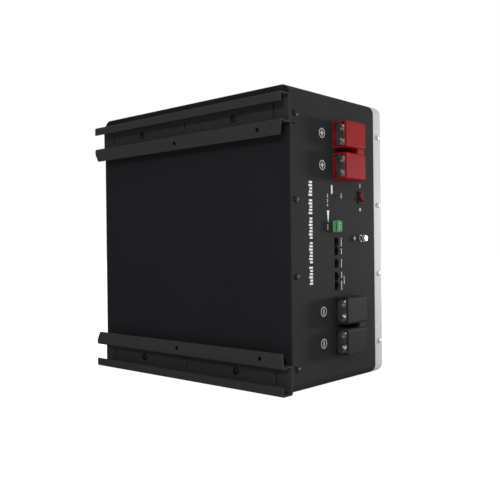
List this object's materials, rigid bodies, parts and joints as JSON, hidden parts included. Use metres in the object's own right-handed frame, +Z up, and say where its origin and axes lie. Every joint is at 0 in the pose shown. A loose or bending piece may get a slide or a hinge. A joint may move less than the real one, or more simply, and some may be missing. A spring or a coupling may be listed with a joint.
{
  "type": "battery pack",
  "caption": "Wall-hung lithium battery module: dark steel case with a pale front cover, two hanging rails, paired red and black terminals, a rocker switch and data sockets.",
  "frame": {"origin": "centre of the case's underside, which the module stands on when it isn't hung", "axes": "+Z up, +Y out of the back with the hanging rails, -Y out of the front cover, -X out of the connector end"},
  "size_m": [0.4213, 0.2438, 0.406],
  "materials": {
    "case_black": "fine textured powder coat",
    "plate_black": "fine textured powder coat",
    "cover_silver": "satin",
    "rail_black": "satin powder coat",
    "screw_black": "black oxide",
    "zinc": "zinc plated",
    "frame_steel": "galvanised",
    "copper": "plain copper",
    "brass": "satin",
    "hood_red": "moulded",
    "hood_black": "moulded",
    "switch_black": "moulded",
    "switch_red": "moulded",
    "plug_green": "moulded",
    "jack_black": "moulded",
    "contact_gold": "gold plated",
    "tin": "tin plated",
    "light_clear": "frosted",
    "button_grey": "moulded",
    "board_green": "solder resist",
    "sink_aluminium": "extruded",
    "cell_blue": "wrapped in a plastic film",
    "sheet_white": "plain",
    "pad_rubber": "plain",
    "gasket_rubber": "foam",
    "fuse_ceramic": "glazed",
    "ribbon_grey": "plain"
  },
  "bodies": {
    "case": {"case_shell": "case_black", "back_plate": "plate_black", "front_cover": "cover_silver", "cover_frame": "frame_steel", "cover_gasket": "gasket_rubber", "upper_rail": "rail_black", "lower_rail": "rail_black", "rail_screws": "screw_black", "rail_nuts": "zinc", "back_screws": "screw_black", "cover_screws": "zinc", "positive_hoods": "hood_red", "negative_hoods": "hood_black", "positive_terminals": "copper", "negative_terminals": "copper", "terminal_bolts": "zinc", "terminal_washers": "zinc", "terminal_insulators": "sheet_white", "bar_bolts": "zinc", "positive_bar": "copper", "negative_bar": "copper", "main_fuse": "fuse_ceramic", "positive_link": "copper", "negative_link": "copper", "earth_bolt": "brass", "earth_washers": "brass", "earth_nut": "brass", "switch_body": "switch_black", "signal_header": "plug_green", "header_pins": "tin", "jack_upper": "jack_black", "jack_middle": "jack_black", "jack_lower": "jack_black", "jack_contacts": "contact_gold", "light_pipe": "light_clear", "reset_guide": "switch_black", "interface_board": "board_green", "bms_heatsink": "sink_aluminium", "bms_board": "board_green", "sense_ribbon": "ribbon_grey", "end_plate_near": "sink_aluminium", "end_plate_far": "sink_aluminium", "cell_1": "cell_blue", "cell_2": "cell_blue", "cell_3": "cell_blue", "cell_4": "cell_blue", "cell_5": "cell_blue", "cell_6": "cell_blue", "cell_7": "cell_blue", "cell_8": "cell_blue", "cell_spacers": "sheet_white", "cell_pad": "pad_rubber", "clamp_straps": "frame_steel", "cell_links": "copper", "link_nuts": "zinc", "link_cover": "sheet_white"},
    "rocker": {"switch_rocker": "switch_red"},
    "reset": {"reset_button": "button_grey"},
    "plug": {"signal_plug": "plug_green", "plug_screws": "tin"}
  },
  "joints": [
    {"name": "rocker_hinge", "type": "hinge", "parent": "case", "child": "rocker", "pos_m": [-0.197, -0.05265, 0.2648], "axis": [0, -1, 0], "range_deg": [0, 22]},
    {"name": "reset_slide", "type": "slide", "parent": "case", "child": "reset", "axis": [1, 0, 0], "range_m": [0, 0.0008], "stiffness_N_per_m": 400},
    {"name": "plug_slide", "type": "slide", "parent": "case", "child": "plug", "axis": [-1, 0, 0], "range_m": [0, 0.009]}
  ]
}
